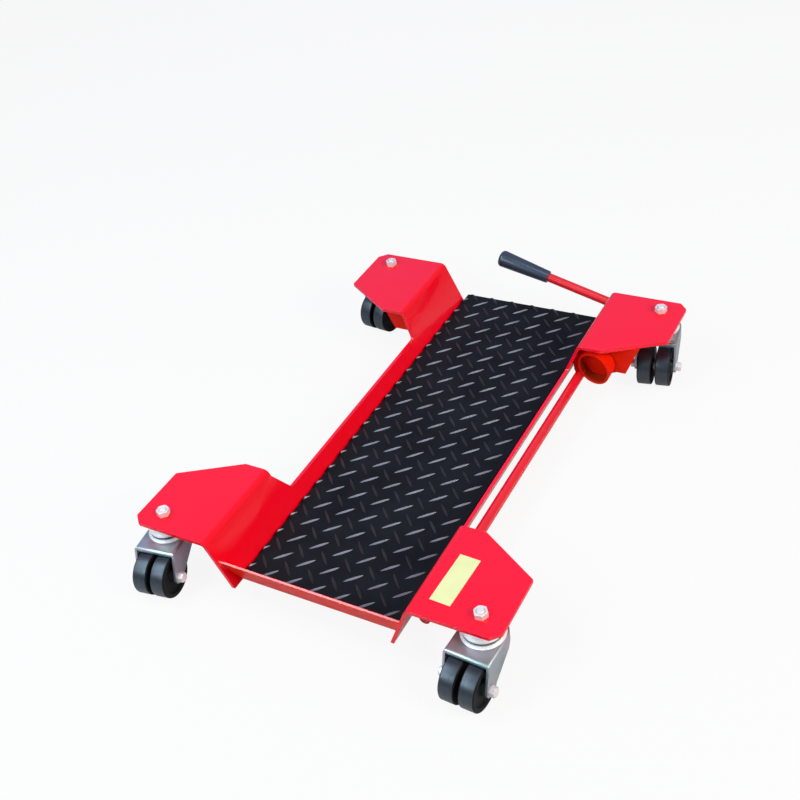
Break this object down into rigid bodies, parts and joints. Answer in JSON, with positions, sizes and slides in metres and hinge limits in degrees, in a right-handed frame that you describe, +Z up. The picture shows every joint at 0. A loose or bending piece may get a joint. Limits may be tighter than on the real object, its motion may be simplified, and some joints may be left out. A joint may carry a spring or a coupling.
{
  "type": "motorcycle dolly",
  "caption": "Low motorcycle dolly: a ribbed deck hung between bent side plates on swivelling twin-wheel casters, with a hand lever that turns a pipe foot down to park it.",
  "frame": {"origin": "on the floor, under the middle of the two side plates", "axes": "+X to the side with the lever bar, +Y along the deck to the end with the hand lever, +Z up"},
  "size_m": [0.4565, 0.6566, 0.0877],
  "materials": {
    "red_enamel": "smooth gloss enamel",
    "red_bar": "satin enamel on round bar",
    "mat_rubber": "moulded tread, satin",
    "label_film": "plain matt film",
    "grip_plastic": "moulded, satin",
    "zinc_plate": "zinc plated, faintly iridescent",
    "bright_zinc": "bright zinc plated",
    "ball_steel": "polished",
    "sleeve_steel": "drawn tube",
    "wheel_plastic": "moulded, satin"
  },
  "bodies": {
    "frame": {"left_side_plate": "red_enamel", "right_side_plate": "red_enamel", "deck_plate": "red_enamel", "tread_mat": "mat_rubber", "near_left_gusset": "red_enamel", "far_left_gusset": "red_enamel", "near_right_gusset": "red_enamel", "far_right_gusset": "red_enamel", "label": "label_film", "near_left_kingpin": "zinc_plate", "near_left_stud_nut": "zinc_plate", "near_left_upper_cup": "bright_zinc", "near_right_kingpin": "zinc_plate", "near_right_stud_nut": "zinc_plate", "near_right_upper_cup": "bright_zinc", "far_left_kingpin": "zinc_plate", "far_left_stud_nut": "zinc_plate", "far_left_upper_cup": "bright_zinc", "far_right_kingpin": "zinc_plate", "far_right_stud_nut": "zinc_plate", "far_right_upper_cup": "bright_zinc"},
    "lever": {"lever_bar": "red_bar", "cam_pipe": "red_bar", "lever_grip": "grip_plastic"},
    "near_left_caster": {"near_left_fork": "zinc_plate", "near_left_lower_race": "zinc_plate", "near_left_swivel_balls": "ball_steel", "near_left_axle_bolt": "zinc_plate", "near_left_axle_nut": "zinc_plate", "near_left_axle_sleeve": "sleeve_steel"},
    "near_left_left_wheel": {"near_left_left_wheel": "wheel_plastic"},
    "near_left_right_wheel": {"near_left_right_wheel": "wheel_plastic"},
    "near_right_caster": {"near_right_fork": "zinc_plate", "near_right_lower_race": "zinc_plate", "near_right_swivel_balls": "ball_steel", "near_right_axle_bolt": "zinc_plate", "near_right_axle_nut": "zinc_plate", "near_right_axle_sleeve": "sleeve_steel"},
    "near_right_left_wheel": {"near_right_left_wheel": "wheel_plastic"},
    "near_right_right_wheel": {"near_right_right_wheel": "wheel_plastic"},
    "far_left_caster": {"far_left_fork": "zinc_plate", "far_left_lower_race": "zinc_plate", "far_left_swivel_balls": "ball_steel", "far_left_axle_bolt": "zinc_plate", "far_left_axle_nut": "zinc_plate", "far_left_axle_sleeve": "sleeve_steel"},
    "far_left_left_wheel": {"far_left_left_wheel": "wheel_plastic"},
    "far_left_right_wheel": {"far_left_right_wheel": "wheel_plastic"},
    "far_right_caster": {"far_right_fork": "zinc_plate", "far_right_lower_race": "zinc_plate", "far_right_swivel_balls": "ball_steel", "far_right_axle_bolt": "zinc_plate", "far_right_axle_nut": "zinc_plate", "far_right_axle_sleeve": "sleeve_steel"},
    "far_right_left_wheel": {"far_right_left_wheel": "wheel_plastic"},
    "far_right_right_wheel": {"far_right_right_wheel": "wheel_plastic"}
  },
  "joints": [
    {"name": "lever_turn", "type": "hinge", "parent": "frame", "child": "lever", "pos_m": [0.119, 0, 0.03], "axis": [0, 1, 0], "range_deg": [0, 58]},
    {"name": "near_left_swivel", "type": "hinge", "parent": "frame", "child": "near_left_caster", "pos_m": [-0.192, -0.26, 0.057], "axis": [0, 0, 1], "continuous": true},
    {"name": "near_left_left_wheel_spin", "type": "hinge", "parent": "near_left_caster", "child": "near_left_left_wheel", "pos_m": [-0.18678, -0.29714, 0.025], "axis": [0.9903, 0.1392, 0], "continuous": true},
    {"name": "near_left_right_wheel_spin", "type": "hinge", "parent": "near_left_caster", "child": "near_left_right_wheel", "pos_m": [-0.18678, -0.29714, 0.025], "axis": [0.9903, 0.1392, 0], "continuous": true},
    {"name": "near_right_swivel", "type": "hinge", "parent": "frame", "child": "near_right_caster", "pos_m": [0.192, -0.26, 0.057], "axis": [0, 0, 1], "continuous": true},
    {"name": "near_right_left_wheel_spin", "type": "hinge", "parent": "near_right_caster", "child": "near_right_left_wheel", "pos_m": [0.19004, -0.29745, 0.025], "axis": [0.9986, -0.0523, 0], "continuous": true},
    {"name": "near_right_right_wheel_spin", "type": "hinge", "parent": "near_right_caster", "child": "near_right_right_wheel", "pos_m": [0.19004, -0.29745, 0.025], "axis": [0.9986, -0.0523, 0], "continuous": true},
    {"name": "far_left_swivel", "type": "hinge", "parent": "frame", "child": "far_left_caster", "pos_m": [-0.192, 0.26, 0.057], "axis": [0, 0, 1], "continuous": true},
    {"name": "far_left_left_wheel_spin", "type": "hinge", "parent": "far_left_caster", "child": "far_left_left_wheel", "pos_m": [-0.19592, 0.22271, 0.025], "axis": [0.9945, -0.1045, 0], "continuous": true},
    {"name": "far_left_right_wheel_spin", "type": "hinge", "parent": "far_left_caster", "child": "far_left_right_wheel", "pos_m": [-0.19592, 0.22271, 0.025], "axis": [0.9945, -0.1045, 0], "continuous": true},
    {"name": "far_right_swivel", "type": "hinge", "parent": "frame", "child": "far_right_caster", "pos_m": [0.192, 0.26, 0.057], "axis": [0, 0, 1], "continuous": true},
    {"name": "far_right_left_wheel_spin", "type": "hinge", "parent": "far_right_caster", "child": "far_right_left_wheel", "pos_m": [0.19787, 0.22296, 0.025], "axis": [0.9877, 0.1564, 0], "continuous": true},
    {"name": "far_right_right_wheel_spin", "type": "hinge", "parent": "far_right_caster", "child": "far_right_right_wheel", "pos_m": [0.19787, 0.22296, 0.025], "axis": [0.9877, 0.1564, 0], "continuous": true}
  ]
}
